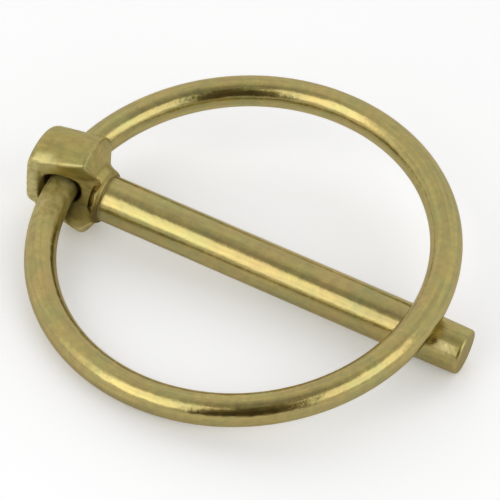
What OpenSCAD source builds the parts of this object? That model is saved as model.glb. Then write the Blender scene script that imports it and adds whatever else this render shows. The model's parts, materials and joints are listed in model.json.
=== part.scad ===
// Lynch pin: a headed steel pin with a round spring ring that swings over its tip.
// Millimetres. The pin is modelled along +X, from its head to its tip, and then laid
// down on three points: the tip, the underside of the head and the near side of the ring.

/* [Shank] */
// Diameter of the straight grip, which goes through the parts that the pin holds
shank_d = 6; // [5:0.1:8]
// Diameter of the slightly tapered lead, measured at the tip
tip_d = 5.76; // [4.8:0.02:8]
// How far the tip stands out beyond the closed ring
tip_reach = 3.55; // [2:0.05:8]
// Chamfer round the tip
tip_chamfer = 0.45; // [0.1:0.05:1]
// Radius of the fillet between the shank and the collar's face
root_fillet = 0.15; // [0.1:0.01:0.2]

/* [Ring] */
// Inner diameter of the spring ring
ring_inner_d = 45.7; // [36:0.1:60]
// Diameter of the spring wire
wire_d = 4; // [3:0.1:4.6]
// How far one wire end sits above the other inside the head
end_step = 0.9; // [0:0.05:1]
// Gap between the two wire ends
end_gap = 0.6; // [0.2:0.1:1.5]
// Gap between the closed ring and the shank that it lies on
seat_gap = 0.05; // [0.02:0.01:0.3]

/* [Head] */
// Length of the head along the pin
head_l = 10.2; // [9.8:0.1:13]
// Diameter of the tapered barrel that forms the head, at the ring's hole
head_d = 11.1; // [10.8:0.1:13]
// Taper of the barrel's sides, wider towards the shank
head_taper = 8.5; // [4:0.5:10]
// How far the barrel sits off the pin's axis
head_shift = 0.85; // [0.5:0.05:1]
// Direction of that shift round the pin, from +Y towards +Z
shift_dir = 33; // [0:1:60]
// Rounding of the barrel's back edge
back_round = 1.9; // [0.4:0.1:3]
// Slope of the conical front, from square across the pin
front_slope = 29; // [20:1:35]
// Radius at which that cone would reach the plane of the bearing face
front_reach = 1.95; // [1.7:0.05:2.2]
// How far the cone sits off the pin's axis, the opposite way to the barrel
front_shift = 0.6; // [0.4:0.05:0.8]
// Diameter of the collar's flat face, which bears on the clamped part
collar_d = 6.7; // [6.5:0.1:7.2]
// Flare of the collar's side towards the head
collar_flare = 24; // [10:1:30]
// Thickness of the collar where the side cuts stop
collar_l = 0.6; // [0.5:0.05:1]

/* [Ring hole] */
// Distance of the hole's axis behind the collar's face
hole_back = 5.95; // [5:0.05:7]
// Clearance round the wire in the hole, besides the room for its stepped ends
hole_clearance = 0.05; // [0.02:0.01:0.3]
// How far the pull of the ring draws it back from the hole's axis
ring_slack = 0.1; // [0:0.05:0.3]

/* [Side cuts] */
// Distance from the pin's axis to the flat round the hole
cut_depth = 1.1; // [0.6:0.1:1.8]
// Lean of that flat, facing outwards and up
cut_lean = 8; // [0:1:12]
// Distance from the pin's axis to the ledge under the cut
ledge_drop = 1.9; // [1:0.1:3]
// How far the cut's back corner lies behind the hole's axis
cut_back = 2.2; // [1.5:0.05:3.2]
// Angle of the cut's back wall to the pin's axis, which leaves a rim at the back
wall_angle = 47; // [40:1:75]
// Turn of the upper facet round the vertical, deeper towards the collar
facet_turn = 14; // [0:1:25]
// Lean of the upper facet, overhanging towards the top
facet_lean = 10; // [0:1:15]

/* [Hidden] */
$fn = 96;
shank_r = shank_d / 2;
tip_r = tip_d / 2;
wire_r = wire_d / 2;
head_r = head_d / 2;
collar_r = collar_d / 2;
ring_r = (ring_inner_d + wire_d) / 2;

// Hinge of the ring, and the point where the ring crosses over the shank
hole_x = -hole_back;
hinge_x = hole_x - ring_slack;
cross_x = hinge_x + sqrt(pow(2 * ring_r, 2) - pow(shank_r + wire_r, 2));
grip_end = cross_x - wire_r + 0.1;
shank_l = cross_x + wire_r + tip_reach;
function lead_r(x) = shank_r + (tip_r - shank_r) * (x - grip_end) / (shank_l - grip_end);
cross_z = lead_r(cross_x) + wire_r + seat_gap;

// The hole clears the stepped wire ends, and its mouths flare to clear the ring's curve
hole_r = wire_r + end_step / 2 + ring_slack + hole_clearance;
mouth_y = head_r + head_shift + 1.4;
mouth_r = hole_r + ring_r - sqrt(pow(ring_r, 2) - pow(mouth_y, 2));

// Half the width of the blocks that the side cuts are made of
far = 40;

// The barrel's centre line, and the front cone's
barrel_y = head_shift * cos(shift_dir);
barrel_z = head_shift * sin(shift_dir);
cone_y = -front_shift * cos(shift_dir + 12);
cone_z = -front_shift * sin(shift_dir + 12);
function barrel_r(x) = head_r + tan(head_taper) * (x - hole_x);

// Lowest points that the pin lies on: where the head, the tip and the ring touch down.
// The head does so at the edge between its barrel and its front cone, and the ring a
// little nearer to the head than straight out to its side.
touch_off = barrel_z - cone_z - pow(barrel_y - cone_y, 2) / head_d;
edge_x = -tan(front_slope) * (barrel_r(0) - touch_off - front_reach)
    / (1 + tan(front_slope) * tan(head_taper));
edge_r = barrel_r(edge_x);
head_touch = [edge_x, barrel_y, barrel_z];
tip_touch = [shank_l - tip_chamfer, 0, 0];
ring_touch_turn = 18.5;
touch_share = (1 + sin(ring_touch_turn)) / 2;
ring_touch = [cross_x + (hinge_x - cross_x) * touch_share, -ring_r * cos(ring_touch_turn),
    cross_z - (cross_z + end_step / 2) * touch_share];

// Normal of the table that is tangent to three balls of radii a, b and c at p, q and s
function table_normal(p, q, s, a, b, c) =
    let (u = p - q, v = p - s, m = cross(u, v), d = a - b, e = a - c,
        base = (d * cross(v, m) - e * cross(u, m)) / (m * m),
        side = sqrt((1 - base * base) / (m * m)))
    m[2] > 0 ? base + side * m : base - side * m;
up = table_normal(head_touch, tip_touch, ring_touch, edge_r, tip_r, wire_r);
roll = atan2(up[1], up[2]);
pitch = -asin(up[0]);

module as_it_lies() {
    rotate([0, pitch, 0]) rotate([roll, 0, 0]) children();
}

// Turns a shape drawn along +Z to lie along +X
module along_x() {
    rotate([0, 90, 0]) children();
}

// Barrel with its rounded back: the rounding touches the back face and the tapered side
module barrel() {
    round_x = back_round - head_l;
    round_r = barrel_r(round_x) - back_round / cos(head_taper);
    side_x = round_x - back_round * sin(head_taper);
    translate([0, barrel_y, barrel_z]) along_x() rotate_extrude() {
        polygon([[0, -head_l], [round_r, -head_l], [barrel_r(side_x), side_x],
            [barrel_r(0), 0], [0, 0]]);
        translate([round_r, round_x]) circle(r = back_round);
    }
}

// Barrel with its conical front, and the collar that stands out of that cone
module head_blank() {
    cone_r = front_reach + head_l / tan(front_slope);
    intersection() {
        barrel();
        translate([0, cone_y, cone_z]) along_x() translate([0, 0, -head_l])
            cylinder(h = head_l, r1 = cone_r, r2 = front_reach);
    }
    along_x() translate([0, 0, -2]) cylinder(h = 2, r1 = collar_r + 2 * tan(collar_flare), r2 = collar_r);
}

// One side cut: a flat round the hole, a twisted facet over it, a ledge and a back wall
module side_cut() {
    intersection() {
        translate([hole_x, -cut_depth, 0]) rotate([-cut_lean, 0, 0])
            translate([-far, -far, -far]) cube([2 * far, far, 2 * far]);
        translate([hole_x, -cut_depth, 0]) rotate([0, 0, facet_turn]) rotate([facet_lean, 0, 0])
            translate([-far, -far, -far]) cube([2 * far, far, 2 * far]);
        translate([hole_x - cut_back, -cut_depth, -ledge_drop]) rotate([0, 0, wall_angle - 90])
            translate([0, -far, 0]) cube([far, 2 * far, far]);
        translate([-collar_l - far, -far, -far]) cube([far, 2 * far, 2 * far]);
    }
}

// Cross hole for the wire ends, with a flared mouth on each side
module ring_hole() {
    translate([hole_x, 0, 0]) rotate([90, 0, 0]) {
        cylinder(h = 2 * mouth_y, r = hole_r, center = true);
        for (side = [0, 180]) rotate([side, 0, 0])
            translate([0, 0, cut_depth]) cylinder(h = mouth_y - cut_depth, r1 = hole_r, r2 = mouth_r);
    }
}

module shank() {
    along_x() {
        translate([0, 0, -head_l / 2]) cylinder(h = head_l / 2 + grip_end, r = shank_r);
        translate([0, 0, grip_end]) cylinder(h = shank_l - tip_chamfer - grip_end, r1 = shank_r,
            r2 = lead_r(shank_l - tip_chamfer));
        translate([0, 0, shank_l - tip_chamfer]) cylinder(h = tip_chamfer,
            r1 = lead_r(shank_l - tip_chamfer), r2 = tip_r - tip_chamfer);
    }
}

// Concave fillet where the shank leaves the collar
module root() {
    along_x() rotate_extrude() difference() {
        square([shank_r + root_fillet, root_fillet]);
        translate([shank_r + root_fillet, root_fillet]) circle(r = root_fillet);
    }
}

module pin() {
    color([0.72, 0.63, 0.33]) as_it_lies() {
        difference() {
            union() {
                head_blank();
                shank();
            }
            side_cut();
            rotate([180, 0, 0]) side_cut();
            ring_hole();
        }
        root();
    }
}

// Half of the ring, from where it crosses the shank to its end in the head.
// The half tilts about the wire's own line at the crossing, so that the two halves join
// smoothly there and their ends come to lie one above the other. The wire's outline turns
// back by the same tilt, so that the points of the two halves' outlines meet.
module half_ring(end_z) {
    tilt = asin((cross_z - end_z) / (2 * ring_r));
    translate([cross_x, 0, cross_z]) rotate([0, -tilt, 0]) translate([-ring_r, 0, 0])
        rotate_extrude(angle = 180 - asin(end_gap / 2 / ring_r))
            translate([ring_r, 0]) rotate(-tilt) circle(r = wire_r);
}

module ring() {
    color([0.70, 0.62, 0.34]) as_it_lies() {
        half_ring(end_step / 2);
        mirror([0, 1, 0]) half_ring(-end_step / 2);
    }
}

pin();
ring();
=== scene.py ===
import json
import math

import bmesh
import bpy
import numpy as np
from mathutils import Matrix, Vector, noise


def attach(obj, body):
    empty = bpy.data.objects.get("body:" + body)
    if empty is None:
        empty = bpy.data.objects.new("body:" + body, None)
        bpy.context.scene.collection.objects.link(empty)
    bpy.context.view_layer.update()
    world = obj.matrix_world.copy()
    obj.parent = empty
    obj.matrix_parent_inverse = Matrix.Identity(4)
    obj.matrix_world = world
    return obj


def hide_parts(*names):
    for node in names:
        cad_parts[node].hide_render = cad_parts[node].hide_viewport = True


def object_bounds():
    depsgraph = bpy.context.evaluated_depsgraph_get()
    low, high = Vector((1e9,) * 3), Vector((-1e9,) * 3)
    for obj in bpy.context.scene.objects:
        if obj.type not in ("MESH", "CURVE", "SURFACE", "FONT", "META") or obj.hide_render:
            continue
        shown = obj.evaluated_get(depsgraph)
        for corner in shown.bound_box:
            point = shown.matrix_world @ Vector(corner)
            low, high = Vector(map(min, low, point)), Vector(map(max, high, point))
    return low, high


# A lynch pin in yellow zinc plating, lying on a pale surface, seen as in the photo.
# Shapes are worked out in millimetres in the shank's own frame: x runs from the head to the
# tip, z points away from the surface on the ring's side, and the origin lies on the shank's
# axis at the collar's face.
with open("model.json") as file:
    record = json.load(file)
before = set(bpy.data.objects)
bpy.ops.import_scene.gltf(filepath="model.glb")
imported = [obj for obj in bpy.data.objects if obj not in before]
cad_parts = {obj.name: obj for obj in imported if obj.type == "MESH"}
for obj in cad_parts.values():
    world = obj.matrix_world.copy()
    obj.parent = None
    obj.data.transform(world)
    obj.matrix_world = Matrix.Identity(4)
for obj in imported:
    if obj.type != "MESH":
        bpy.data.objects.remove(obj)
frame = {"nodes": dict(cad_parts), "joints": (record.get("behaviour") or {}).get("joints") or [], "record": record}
cad_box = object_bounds()
MM = 0.001

# That frame, from the mount on the shank and the ring's hinge
shank_mount = frame["record"]["mounts"][0]
axis_x = Vector(shank_mount["axis"]).normalized()
axis_y = -Vector(frame["joints"][0]["axis"]).normalized()
axis_z = axis_x.cross(axis_y).normalized()
SHANK = Matrix((axis_x, axis_y, axis_z)).transposed()

# Sizes of the solids in millimetres, and the taper of the head's barrel in degrees
SHANK_R = shank_mount["dims"]["r_mm"]
TIP_R = 2.88
TIP_REACH = 3.55
WIRE_R = 2.0
RING_R = 24.85
END_STEP = 0.9
END_GAP = 0.6
SEAT_GAP = 0.05
HINGE_X = -6.05
HOLE_X = -5.95
HOLE_R = 2.6
BARREL_R = 5.55
BARREL_Y, BARREL_Z = 0.713, 0.463
BARREL_TAPER = 8.5

# Where the ring crosses the shank, and where the shank's tapered lead starts and ends
CROSS_X = HINGE_X + math.sqrt((2 * RING_R) ** 2 - (SHANK_R + WIRE_R) ** 2)
LEAD_X = CROSS_X - WIRE_R + 0.1
TIP_X = CROSS_X + WIRE_R + TIP_REACH


def lead_r(x):
    """Radius of the shank, which tapers slightly towards its tip."""
    return SHANK_R + (TIP_R - SHANK_R) * np.maximum(0, x - LEAD_X) / (TIP_X - LEAD_X)


CROSS_Z = lead_r(CROSS_X) + WIRE_R + SEAT_GAP


# Camera: focal length in pixels of the photo, place and axes in the shank's frame
PHOTO_PX = 500
FOCAL_PX = 2762
SENSOR_MM = 36
CAMERA_AT = (100.63, -182.95, 273.96)
CAMERA_RIGHT = (0.8914, 0.4516, 0.0386)
CAMERA_UP = (-0.3847, 0.7089, 0.5911)
CAMERA_BACK = (0.2396, -0.5418, 0.8057)


def place_camera():
    """The photo's camera, at the distance that gives its perspective."""
    data = bpy.data.cameras.new("camera")
    data.sensor_width = SENSOR_MM
    data.lens = FOCAL_PX / PHOTO_PX * SENSOR_MM
    data.clip_start, data.clip_end = 0.01, 20
    camera = bpy.data.objects.new("camera", data)
    bpy.context.scene.collection.objects.link(camera)
    axes = [SHANK @ Vector(axis) for axis in (CAMERA_RIGHT, CAMERA_UP, CAMERA_BACK)]
    turn = Matrix(axes).transposed().to_4x4()
    camera.matrix_world = Matrix.Translation(SHANK @ Vector(CAMERA_AT) * MM) @ turn
    bpy.context.scene.camera = camera
    bpy.context.scene.view_settings.view_transform = "Standard"


class Tree:
    """Short calls for building a node tree."""

    def __init__(self, owner):
        owner.use_nodes = True
        self.nodes, self.links = owner.node_tree.nodes, owner.node_tree.links

    def add(self, kind, inputs=None, **settings):
        made = self.nodes.new("ShaderNode" + kind)
        for key, value in settings.items():
            setattr(made, key, value)
        for key, value in (inputs or {}).items():
            self.set(made.inputs[key], value)
        return made

    def set(self, socket, value):
        if isinstance(value, bpy.types.NodeSocket):
            self.links.new(value, socket)
        else:
            socket.default_value = value

    def math(self, operation, a, b, clamp=False):
        return self.add("Math", {0: a, 1: b}, operation=operation, use_clamp=clamp).outputs[0]

    def total(self, first, *others):
        """The sum of some values, each times its weight."""
        result = self.math("MULTIPLY", *first)
        for value, weight in others:
            result = self.math("ADD", result, self.math("MULTIPLY", value, weight))
        return result

    def stretch(self, value, low, high, to_low, to_high):
        return self.add("MapRange", {0: value, 1: low, 2: high, 3: to_low, 4: to_high}).outputs[0]

    def attribute(self, name):
        return self.add("Attribute", attribute_name=name).outputs["Vector"]

    def towards(self, vector, way):
        """How far a vector points a given way."""
        return self.add("VectorMath", {0: vector, 1: way}, operation="DOT_PRODUCT").outputs["Value"]

    def noise(self, vector, scale, detail, roughness, distortion=0.0):
        return self.add("TexNoise", {"Vector": vector, "Scale": scale, "Detail": detail,
                                     "Roughness": roughness, "Distortion": distortion}).outputs[0]

    def moved(self, vector, by, offset):
        return self.add("Mapping", {"Vector": vector, "Scale": by, "Location": offset}).outputs[0]

    def grey(self, value):
        return self.add("CombineColor", {0: value, 1: value, 2: value}).outputs[0]

    def ramp(self, value, *stops):
        """A colour ramp through stops of place and colour, or place and grey."""
        made = self.add("ValToRGB", {0: value})
        elements = made.color_ramp.elements
        while len(elements) < len(stops):
            elements.new(0.5)
        for element, (place, colour) in zip(elements, stops):
            element.position = place
            element.color = (*(colour if isinstance(colour, tuple) else (colour,) * 3), 1)
        return made.outputs[0]

    def blend(self, kind, amount, a, b):
        made = self.add("Mix", data_type="RGBA", blend_type=kind)
        self.set(made.inputs["Factor"], amount)
        for name, value in (("A", a), ("B", b)):
            socket = [s for s in made.inputs if s.name == name and s.type == "RGBA"][0]
            self.set(socket, (*value, 1) if isinstance(value, tuple) else value)
        return [s for s in made.outputs if s.type == "RGBA"][0]

    def seen_directly(self):
        """1 where the camera sees a thing itself or in a mirror or glass, 0 for its light."""
        path = self.add("LightPath").outputs
        seen = self.math("MAXIMUM", path["Is Camera Ray"], path["Is Glossy Ray"])
        return self.math("MAXIMUM", seen, path["Is Transmission Ray"])


# World: where most of its light comes from, and the middle of the darker part of the sky, which
# lies over the near side and is seen only in the metal. Both are directions in the scene.
LIGHT_FROM = (-0.3, 0.95, 0)
DARK_SKY_AT = (0.137, -0.449, 0.883)


def make_world():
    """Soft light, most of it from the far side, and a pale sky that darkens overhead."""
    world = bpy.data.worlds.new("world")
    bpy.context.scene.world = world
    tree = Tree(world)
    tree.nodes.clear()
    way = tree.add("TexCoord").outputs["Generated"]
    strength = tree.ramp(tree.towards(way, LIGHT_FROM), (0.0, 0.3), (0.9, 1.6))
    light = tree.add("Background", {"Color": (1, 1, 1, 1), "Strength": strength})
    sky = tree.ramp(tree.towards(way, DARK_SKY_AT), (0.7, 0.97), (0.88, 0.66), (0.97, 0.4))
    shown = tree.add("Background", {"Color": sky})
    mix = tree.add("MixShader", {0: tree.seen_directly(), 1: light.outputs[0], 2: shown.outputs[0]})
    tree.add("OutputWorld", {0: mix.outputs[0]})


# The floor lies just under the part
FLOOR_Z = cad_box[0][2] - 0.00002
FLOOR_REACH = 1.5
FLOOR_COLOUR = (0.88, 0.88, 0.88, 1)
FLOOR_LIFT = 0.2


def stage_object(name, verts, faces, colour, roughness):
    """A piece of the studio, with its node tree and its shader."""
    mesh = bpy.data.meshes.new(name)
    mesh.from_pydata(verts, [], faces)
    obj = bpy.data.objects.new(name, mesh)
    bpy.context.scene.collection.objects.link(obj)
    mat = bpy.data.materials.new(name)
    tree = Tree(mat)
    bsdf = tree.nodes["Principled BSDF"]
    bsdf.inputs["Base Color"].default_value = colour
    bsdf.inputs["Roughness"].default_value = roughness
    mesh.materials.append(mat)
    return obj, tree, bsdf


def make_floor():
    """A pale floor, a little whiter where it is seen than the lamps make it."""
    corners = [(x * FLOOR_REACH, y * FLOOR_REACH, FLOOR_Z)
               for x, y in ((-1, -1), (1, -1), (1, 1), (-1, 1))]
    floor, tree, bsdf = stage_object("floor", corners, [(0, 1, 2, 3)], FLOOR_COLOUR, 0.8)
    bsdf.inputs["Emission Color"].default_value = (1, 1, 1, 1)
    lift = tree.math("MULTIPLY", tree.seen_directly(), FLOOR_LIFT)
    tree.set(bsdf.inputs["Emission Strength"], lift)


# The lamps and the card stand round this point on the floor, at these distances in metres
MIDDLE = Vector((0.018, 0, FLOOR_Z))
LAMP_FAR = 0.8
CARD_FAR = 0.6
CARD_COLOUR = (0.045, 0.03, 0.01, 1)
CARD_PARTS = 24


def bearing(azimuth, elevation):
    """A direction in degrees: azimuth from the near side, -Y, towards +X."""
    a, e = math.radians(azimuth), math.radians(elevation)
    return Vector((math.sin(a) * math.cos(e), -math.cos(a) * math.cos(e), math.sin(e)))


def softbox(name, azimuth, elevation, wide, high, radiance):
    """A rectangular lamp that faces the part. Its width and height are angles in degrees."""
    data = bpy.data.lights.new(name, "AREA")
    data.shape = "RECTANGLE"
    width, height = [2 * LAMP_FAR * math.tan(math.radians(a / 2)) for a in (wide, high)]
    data.size, data.size_y = width, height
    data.energy = radiance * math.pi * width * height
    lamp = bpy.data.objects.new(name, data)
    bpy.context.scene.collection.objects.link(lamp)
    way = bearing(azimuth, elevation)
    lamp.location = MIDDLE + way * LAMP_FAR
    lamp.rotation_euler = way.to_track_quat("Z", "Y").to_euler()


def dark_card(first, last, top):
    """A curved dark card from one bearing to another, for the metal to mirror in dark bands."""
    verts = []
    for k in range(CARD_PARTS + 1):
        way = bearing(first + (last - first) * k / CARD_PARTS, 0)
        for z in (0, math.tan(math.radians(top))):
            verts.append(MIDDLE + (way + Vector((0, 0, z))) * CARD_FAR)
    faces = [(2 * k, 2 * k + 2, 2 * k + 3, 2 * k + 1) for k in range(CARD_PARTS)]
    card = stage_object("card", verts, faces, CARD_COLOUR, 1)[0]
    card.visible_camera = False
    card.visible_diffuse = False
    card.visible_shadow = False


def fade(value, start, end):
    """0 up to start and 1 from end on, with a straight slope between them, either way round."""
    return np.clip((value - start) / (end - start), 0, 1)


def spot(distance, spread):
    """1 at distance 0, and soon nothing beyond the spread."""
    return np.exp(-(distance / spread) ** 2 / 2)


def smooth(verts, edges, rounds):
    """Moves each vertex halfway to the middle of its neighbours, some rounds over."""
    count = len(verts)
    ends = np.concatenate((edges[:, 0], edges[:, 1]))
    others = np.concatenate((edges[:, 1], edges[:, 0]))
    degree = np.maximum(np.bincount(ends, minlength=count), 1)[:, None]
    for _ in range(rounds):
        total = np.stack([np.bincount(ends, verts[others, k], count) for k in range(3)], 1)
        verts = verts + 0.5 * (total / degree - verts)
    return verts


def largest_shell(count, edges):
    """Which vertices belong to the largest connected shell."""
    label, before = np.arange(count), None
    while before is None or (label != before).any():
        before = label.copy()
        lower = np.minimum(before[edges[:, 0]], before[edges[:, 1]])
        np.minimum.at(label, edges[:, 0], lower)
        np.minimum.at(label, edges[:, 1], lower)
        label = label[label]
    return label == np.bincount(label).argmax()


def field(points, scale, seed=0.0):
    """Smooth noise from about -1 to 1 at each point."""
    return np.array([noise.noise(Vector((x * scale + seed, y * scale, z * scale)))
                     for x, y, z in points])


def tube_faces(rows, sides, turned=False):
    """Faces of a closed tube through rows of points, wound the other way where turned."""
    row = np.arange(rows - 1)[:, None] * sides
    a = np.arange(sides)[None]
    b = (a + 1) % sides
    quads = np.stack((row + a, row + b, row + sides + b, row + sides + a), 2).reshape(-1, 4)
    faces = quads.tolist()
    faces.append(list(range((rows - 1) * sides, rows * sides)))
    faces.append(list(reversed(range(sides))))
    return [face[::-1] for face in faces] if turned else faces


def joined(*shells):
    """Several shells as one: their points, faces and marks."""
    verts = np.concatenate([shell[0] for shell in shells])
    marks = np.concatenate([shell[2] for shell in shells])
    faces, start = [], 0
    for shell in shells:
        faces += [[corner + start for corner in face] for face in shell[1]]
        start += len(shell[0])
    return verts, faces, marks


def mesh_object(name, verts, faces, grain, marks):
    """A smooth-shaded piece, with the place, grain and marks of each point for its material."""
    mesh = bpy.data.meshes.new(name)
    mesh.from_pydata([tuple(v) for v in verts @ np.array(SHANK).T * MM], [], faces)
    for key, values in (("place", verts), ("grain", grain), ("marks", marks)):
        layer = mesh.attributes.new(key, "FLOAT_VECTOR", "POINT")
        layer.data.foreach_set("vector", np.ascontiguousarray(values, np.float32).ravel())
    mesh.shade_smooth()
    mesh.update()
    obj = bpy.data.objects.new(name, mesh)
    bpy.context.scene.collection.objects.link(obj)
    return obj


# Head: the back of the barrel and its rounding, how far forward it reaches, where it takes over
# from the solid, the bounds of its rim and its crown, and the flat on the rim's side
BACK_X, BACK_R, BACK_ROUND = -10.17, 4.096, 0.95
SIDE_X = -7.8
JOIN_X, JOIN_OVERLAP = -8.55, 0.05
RIM_Y, CROWN_Z = -0.5, 1.6
FLAT_AT, FLAT_WAY = (-10.2, -2.5, 3.6), (0.12, -0.988, 0.1)
# The stub of the shank that the head keeps
STUB_X = 0.4
# Wear: the size of the remesh, the rounds of smoothing on all edges, on those off the collar and
# for finding bends, the bend at which an edge counts fully, and the corner that is knocked round
# and carries a painted highlight
VOXEL = 0.105
EDGE_ROUNDS, HEAD_ROUNDS, WIDE_ROUNDS = 9, 14, 40
FULL_BEND = 0.12
KNOCKED_CORNER = (-7.5, -2.9, 4.7)


def cut_off(bm, point, normal):
    """Cuts away what lies beyond a plane and closes the cut."""
    cut = bmesh.ops.bisect_plane(bm, geom=bm.verts[:] + bm.edges[:] + bm.faces[:],
                                 plane_co=point, plane_no=normal, clear_outer=True)
    rim = [g for g in cut["geom_cut"] if isinstance(g, bmesh.types.BMEdge)]
    bmesh.ops.contextual_create(bm, geom=rim)


def pin_solid():
    """The CAD pin in millimetres in the shank's frame, as one closed mesh."""
    bm = bmesh.new()
    bm.from_mesh(frame["nodes"]["pin"].data)
    to_shank = SHANK.transposed().to_4x4() @ Matrix.Scale(1 / MM, 4)
    bmesh.ops.transform(bm, matrix=to_shank, verts=bm.verts)
    bmesh.ops.remove_doubles(bm, verts=bm.verts, dist=0.0005)
    return bm


def barrel_back():
    """The back of the head's barrel before its sides were cut, with a tight rounding."""
    profile = [(BACK_X, BACK_R)]
    for turn in (*range(80, 0, -10), -BARREL_TAPER):
        a = math.radians(turn)
        profile.append((BACK_X + BACK_ROUND * (1 - math.sin(a)), BACK_R + BACK_ROUND * math.cos(a)))
    taper = math.tan(math.radians(BARREL_TAPER))
    profile.append((SIDE_X, BARREL_R + taper * (SIDE_X - HOLE_X)))
    bm = bmesh.new()
    sides = 96
    for x, r in profile:
        for k in range(sides):
            a = 2 * math.pi * k / sides
            bm.verts.new((x, BARREL_Y + r * math.cos(a), BARREL_Z + r * math.sin(a)))
    bmesh.ops.convex_hull(bm, input=bm.verts)
    return bm


def head_parts():
    """The head of the solid, and the parts that give it a higher rim and a squarer back."""
    whole = pin_solid()
    cut_off(whole, (STUB_X, 0, 0), (1, 0, 0))
    cut_off(whole, (JOIN_X - JOIN_OVERLAP, 0, 0), (-1, 0, 0))
    back, rim, crown = pin_solid(), barrel_back(), barrel_back()
    cut_off(rim, (0, RIM_Y, 0), (0, 1, 0))
    cut_off(crown, (0, 0, CROWN_Z), (0, 0, -1))
    for part in (back, rim, crown):
        cut_off(part, (JOIN_X, 0, 0), (1, 0, 0))
        cut_off(part, FLAT_AT, FLAT_WAY)
        mesh = bpy.data.meshes.new("part")
        part.to_mesh(mesh)
        part.free()
        whole.from_mesh(mesh)
        bpy.data.meshes.remove(mesh)
    bmesh.ops.recalc_face_normals(whole, faces=whole.faces)
    return whole


def remeshed(bm):
    """Points, normals, edges and faces of a fine, even mesh round some overlapping solids."""
    mesh = bpy.data.meshes.new("source")
    bm.to_mesh(mesh)
    bm.free()
    obj = bpy.data.objects.new("source", mesh)
    bpy.context.scene.collection.objects.link(obj)
    fine = obj.modifiers.new("fine", "REMESH")
    fine.mode = "VOXEL"
    fine.voxel_size = VOXEL
    made = obj.evaluated_get(bpy.context.evaluated_depsgraph_get()).to_mesh()
    verts, normals = np.empty((2, len(made.vertices) * 3))
    made.vertices.foreach_get("co", verts)
    made.vertices.foreach_get("normal", normals)
    verts, normals = verts.reshape(-1, 3), normals.reshape(-1, 3)
    edges = np.array([e.vertices[:] for e in made.edges])
    faces = np.array([p.vertices[:] for p in made.polygons])
    bpy.data.objects.remove(obj)
    bpy.data.meshes.remove(mesh)
    # The remesh may leave a stray voxel beside the head
    keep = largest_shell(len(verts), edges)
    number = np.cumsum(keep) - 1
    edges = number[edges[keep[edges[:, 0]]]]
    faces = number[faces[keep[faces[:, 0]]]]
    return verts[keep], normals[keep], edges, faces.tolist()


def wear_head(verts, normals, edges):
    """The head's points with worn edges and dents, and for each point its wear and painted light, its dirt and
    painted shade, and its dullness.
    """
    soft = smooth(verts, edges, EDGE_ROUNDS)
    off_collar = fade(soft[:, 0], -1.2, -2.2)
    soft = soft + off_collar[:, None] * (smooth(soft, edges, HEAD_ROUNDS) - soft)
    bent = ((smooth(soft, edges, WIDE_ROUNDS) - verts) * normals).sum(1)
    dents = 0.05 * fade(field(soft, 0.45), -0.25, 0.75) + 0.02 * fade(field(soft, 1.3, 7), 0, 1)
    # What the smoothing took off the upper side is put back
    dents = dents - 0.09 * fade(soft[:, 2], 1, 3) * off_collar
    # The corner over the rim is knocked round, which makes a bright spot
    from_corner = np.linalg.norm(soft - np.array(KNOCKED_CORNER), axis=1)
    dents = dents + 0.35 * spot(from_corner, 1.1)
    # Dents go deeper across the shank than along it
    soft = soft - normals * (0.3, 1, 1) * dents[:, None]
    # The stub of the shank goes inside the turned shank's own shell
    soft[:, 1:] *= (1 - 0.12 * fade(soft[:, 0], 0.02, 0.12))[:, None]
    return soft, head_marks(*soft.T, bent, from_corner)


def head_marks(x, y, z, bent, from_corner):
    """Wear and painted light, dirt and painted shade, and dullness of the head at each point, by its place in
    millimetres.
    """
    off_bore = np.hypot(x - HOLE_X, z) - HOLE_R
    on_collar = fade(x, -0.55, -0.43)
    on_rim = fade(x, JOIN_X, JOIN_X - 0.1) * fade(y, -1.8, -2.1)
    in_bore = fade(off_bore, 0.35, 0.05) * fade(np.abs(y), 1.3, 1.05)
    # The faces of the side cuts round the hole, their back wall, and the lobe under them
    in_cut = fade(off_bore, 4.2, 2.7) * fade(np.abs(y), 3.4, 2.6) * fade(np.abs(z), 3.2, 2.4)
    wall = fade(x, -7.9, -8.3) * in_cut
    lobe = fade(z, -1.2, -2.0) * fade(y, -0.5, -1.0)
    # Dirt and painted shade darken the hollows; painted shade darkens the hole and the collar, the collar most on
    # its lower side
    collar_shade = on_collar * np.maximum(fade(z, 2.8, 1.4), 0.3)
    dirt_and_shade = np.maximum(0.5 * fade(bent, 0, FULL_BEND), np.maximum(in_bore, collar_shade))
    # Painted light makes the cut faces, their back wall and the lobe paler, and a painted highlight lies on the
    # knocked corner
    pale = np.maximum(0.8 * in_cut + 0.6 * wall, 1.3 * lobe) + 1.6 * spot(from_corner, 1.3)
    # Wear on the edges, plus painted light on the near side of the rim, all of it kept off the collar
    wear_and_light = np.maximum(np.maximum(fade(bent, 0, -FULL_BEND), pale), 2 * on_rim) * (1 - on_collar)
    dull = 1 + np.maximum(in_cut, lobe) * (1 - on_collar)
    return np.stack((wear_and_light, dirt_and_shade, dull), 1)


def head_shell():
    """The head, from the CAD solid, with a higher rim, worn edges and dents."""
    verts, normals, edges, faces = remeshed(head_parts())
    soft, marks = wear_head(verts, normals, edges)
    return soft, faces, marks


def shade_sheet_in_hole():
    """A thin dark sheet of painted shade that closes the middle of the cross hole, between the two wire ends."""
    sides, half_thick, r = 48, 0.1, HOLE_R + 0.1
    angle = np.arange(sides) * 2 * math.pi / sides
    x, z = HOLE_X + r * np.cos(angle), r * np.sin(angle)
    verts = [np.stack((x, np.full(sides, y), z), 1) for y in (-half_thick, half_thick)]
    # The sheet takes the full dark colour of painted shade, and is dull
    return np.concatenate(verts), tube_faces(2, sides, True), np.tile((0.0, 1.0, 1.0), (2 * sides, 1))


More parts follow.
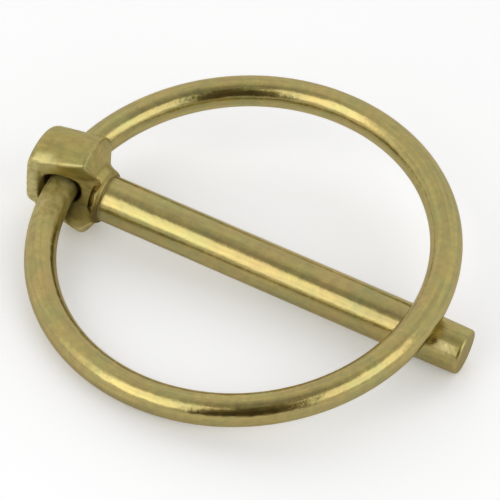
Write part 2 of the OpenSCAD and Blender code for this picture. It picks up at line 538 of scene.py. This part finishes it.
# Shank: the root under the collar as places and radii, and the length and depth of the rounding
# that wear has left on the tip
ROOT = ((-1.6, 2.5), (-0.4, 3.1), (-0.02, 3.16), (0.03, 3.09), (0.08, 3.035), (0.15, SHANK_R))
ROUND_X = TIP_X - 0.5
ROUND_LONG, ROUND_DEEP = 0.47, 0.32
# A painted highlight on the near side near the tip: its place, and its angle round the shank
PAINTED_HIGHLIGHT_X, PAINTED_HIGHLIGHT_TURN = TIP_X - 2.2, 2.29


def shank_profile():
    """The shank's outline from the head to the tip, as places along it and radii."""
    steps = list(ROOT) + [(x, lead_r(x)) for x in np.linspace(0.4, ROUND_X - 0.05, 190)]
    r = lead_r(ROUND_X)
    for t in np.linspace(0, math.pi / 2, 12):
        steps.append((ROUND_X + ROUND_LONG * math.sin(t), r - ROUND_DEEP * (1 - math.cos(t))))
    steps += [(TIP_X - 0.02, r - 0.6), (TIP_X - 0.03, 1.2), (TIP_X - 0.03, 0.4)]
    return np.array(steps).T[:, :, None]


def shank_shell():
    """The shank, turned about its axis, with a few shallow dents."""
    x, r = shank_profile()
    sides = 120
    angle = (np.arange(sides) * 2 * math.pi / sides)[None]
    verts = np.stack(np.broadcast_arrays(x, r * np.cos(angle), r * np.sin(angle)), 2)
    edge = 0.2 * fade(np.abs(x - TIP_X + 0.25), 0.5, 0)
    # A painted highlight: a patch near the tip made paler in colour
    wear_and_painted_light = fade(np.abs(x - PAINTED_HIGHLIGHT_X), 1.4, 0) * fade(np.abs(angle - PAINTED_HIGHLIGHT_TURN), 0.39, 0.09)
    end = fade(r, lead_r(ROUND_X), lead_r(ROUND_X) - 0.5) * (x > TIP_X - 1)
    # Painted shade at the root under the collar and on the tip's end
    dirt_and_shade = 0.8 * fade(np.abs(x - 0.1), 0.5, 0) + 0.35 * end
    dull = 0.4 * fade(x, CROSS_X, CROSS_X + 3) + 0.4 * end
    marks = np.stack(np.broadcast_arrays(edge + 2.2 * wear_and_painted_light, dirt_and_shade, dull), 2)
    verts, marks = verts.reshape(-1, 3), marks.reshape(-1, 3)
    outwards = verts * (0, 1, 1)
    outwards /= np.linalg.norm(outwards, axis=1)[:, None]
    straight = (verts[:, 0] > 0.5) & (verts[:, 0] < TIP_X - 0.3)
    dents = np.where(straight, 0.012 * fade(field(verts, 0.35, 3), -0.3, 0.7), 0)
    return verts - outwards * dents[:, None], tube_faces(len(x), sides), marks


# Ring: how far its wire lies inside the solid's surface, and the share of its radius at the ends
WIRE_SLACK = 0.012
END_SHARE = 0.88


def ring_shell():
    """The ring's wire, swept from its lower end in the head over the shank to its upper end.

    Each half tilts about the crossing with the shank, so that the ends lie one above the other.
    """
    sides = 72
    reach = math.pi - math.asin(END_GAP / 2 / RING_R)
    s = np.linspace(-reach, reach, 781)[:, None]
    half = np.where(s < 0, -1, 1)
    tilt = np.arcsin((CROSS_Z - half * END_STEP / 2) / (2 * RING_R))
    r = np.full(s.shape, WIRE_R - WIRE_SLACK)
    r[[0, -1]] *= END_SHARE
    angle = (np.arange(sides) * 2 * math.pi / sides)[None]
    out, up = r * np.cos(angle), r * np.sin(angle)
    along = (RING_R + out) * np.cos(s) - RING_R
    verts = np.stack((CROSS_X + along * np.cos(tilt) - up * np.sin(tilt),
                      (RING_R + out) * np.sin(s),
                      CROSS_Z + along * np.sin(tilt) + up * np.cos(tilt)), 2)
    grain = np.stack(np.broadcast_arrays(s * RING_R, out, up), 2)
    # Towards its near end the wire is pale and dull, and both ends, inside the hole, are darkened with painted
    # shade
    near_end = fade(s, 0.4 - reach, 0.15 - reach)
    dirt_and_shade = fade(reach - np.abs(s), 0.05, 0)
    marks = np.repeat(np.stack((1.5 * near_end, dirt_and_shade, 2 * near_end), 2), sides, 1)
    verts, grain, marks = (part.reshape(-1, 3) for part in (verts, grain, marks))
    return verts, tube_faces(len(s), sides, True), grain, marks


# Zinc plating: its tints from straw to olive, each at a level of the patches' noise
TINTS = ((0.32, (0.40, 0.285, 0.062)), (0.5, (0.365, 0.285, 0.056)), (0.68, (0.315, 0.28, 0.06)))
# Colour for worn edges and for painted light and painted highlights
WEAR_AND_LIGHT_COLOUR = (0.62, 0.55, 0.24)
# Colour for dirt and for painted shade
DIRT_AND_SHADE_COLOUR = (0.09, 0.065, 0.018)
GLOSS_TINT = (0.6, 0.5, 0.25, 1)
COAT_IOR = 1.82
BUMP_FAR = 0.00006


def zinc(name, seed, dented):
    """Yellow zinc plating over steel: patchy tints, drawn grain, worn edges and painted light, dirt and painted
    shade.
    """
    mat = bpy.data.materials.new(name)
    tree = Tree(mat)
    bsdf = tree.nodes["Principled BSDF"]
    place, grain = tree.attribute("place"), tree.attribute("grain")
    marks = tree.add("SeparateXYZ", {0: tree.attribute("marks")}).outputs
    wear_and_light, dirt_and_shade_amount, dull = marks["X"], marks["Y"], marks["Z"]

    # Noise in millimetres, in blotches and drawn out along the metal's grain
    patches = tree.noise(tree.moved(place, (1, 1, 1), (seed, 0, 0)), 0.24, 3, 0.55, 0.4)
    cloud = tree.noise(tree.moved(place, (1, 1, 1), (seed, 5, 0)), 0.9, 4, 0.6)
    grit = tree.noise(place, 9.0, 2, 0.6)
    streak = tree.noise(tree.moved(grain, (0.05, 1, 1), (seed, 0, 0)), 1.5, 4, 0.6)
    fine = tree.noise(tree.moved(grain, (0.12, 1, 1), (seed, 3, 0)), 6.0, 3, 0.6)
    dents = tree.noise(tree.moved(grain, (0.5, 1, 1), (seed, 9, 0)), 0.8, 2, 0.5)

    streak_shade = tree.stretch(streak, 0.3, 0.7, 0.77, 1.12)
    cloud_shade = tree.stretch(cloud, 0.3, 0.7, 0.84, 1.12)
    shade = tree.math("MULTIPLY", streak_shade, cloud_shade)
    colour = tree.blend("MULTIPLY", 1.0, tree.ramp(patches, *TINTS), tree.grey(shade))
    # Paler where the metal is worn and where light is painted on
    wear_and_painted_light = tree.math("MULTIPLY", wear_and_light, tree.stretch(cloud, 0.35, 0.6, 0.05, 0.35), clamp=True)
    colour = tree.blend("MIX", wear_and_painted_light, colour, WEAR_AND_LIGHT_COLOUR)
    # Darker where there is dirt and where shade is painted on
    dirt_and_shade = tree.math("MULTIPLY", dirt_and_shade_amount, 0.85, clamp=True)
    colour = tree.blend("MIX", dirt_and_shade, colour, DIRT_AND_SHADE_COLOUR)
    tree.set(bsdf.inputs["Base Color"], colour)

    streak_rough = tree.stretch(streak, 0.3, 0.7, 0.17, 0.25)
    cloud_rough = tree.stretch(cloud, 0.3, 0.7, -0.02, 0.06)
    rough = tree.total((streak_rough, 1), (cloud_rough, 1), (dirt_and_shade_amount, 0.2), (dull, 0.16))
    tree.set(bsdf.inputs["Roughness"], rough)
    tree.set(bsdf.inputs["Metallic"], tree.stretch(dull, 0, 2, 1.0, 0.5))
    bsdf.inputs["Specular Tint"].default_value = GLOSS_TINT

    # The clear coat is thinner where dirt and painted shade lie and on dull metal, and fades where it is seen
    # aslant
    facing = tree.add("LayerWeight", {"Blend": 0.5}).outputs["Facing"]
    clean_coat = tree.stretch(dirt_and_shade_amount, 0, 1, 1, 0.2)
    dull_coat = tree.stretch(dull, 0, 1, 0.8, 0.5)
    coat = tree.math("MULTIPLY", clean_coat, dull_coat)
    coat = tree.math("MULTIPLY", coat, tree.stretch(facing, 0.5, 1, 1, 0.3))
    tree.set(bsdf.inputs["Coat Weight"], coat)
    tree.set(bsdf.inputs["Coat Roughness"], tree.stretch(dull, 0, 2, 0.18, 0.42))
    bsdf.inputs["Coat IOR"].default_value = COAT_IOR

    high = tree.total((cloud, 0.5), (dents, dented), (streak, 0.12), (fine, 0.03), (grit, 0.008))
    bump = tree.add("Bump", {"Strength": 1.0, "Distance": BUMP_FAR, "Height": high}).outputs[0]
    tree.set(bsdf.inputs["Normal"], bump)
    tree.set(bsdf.inputs["Coat Normal"], bump)
    return mat


place_camera()
make_world()
make_floor()
softbox("key", azimuth=-22.5, elevation=33, wide=39, high=44, radiance=1.65)
softbox("fill", azimuth=-50, elevation=34, wide=24, high=46, radiance=0.4)
softbox("side", azimuth=72, elevation=38, wide=44, high=40, radiance=1.3)
dark_card(first=-2.5, last=49, top=58)

pin_verts, pin_faces, pin_marks = joined(head_shell(), shade_sheet_in_hole(), shank_shell())
pin = mesh_object("pin_metal", pin_verts, pin_faces, pin_verts, pin_marks)
ring_verts, ring_faces, ring_grain, ring_marks = ring_shell()
ring = mesh_object("ring_metal", ring_verts, ring_faces, ring_grain, ring_marks)
for piece, node, seed, dented in ((pin, "pin", 0.0, 0.25), (ring, "ring", 31.0, 1.0)):
    piece.data.materials.append(zinc(node + "_zinc", seed, dented))
    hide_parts(node)
    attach(piece, node)
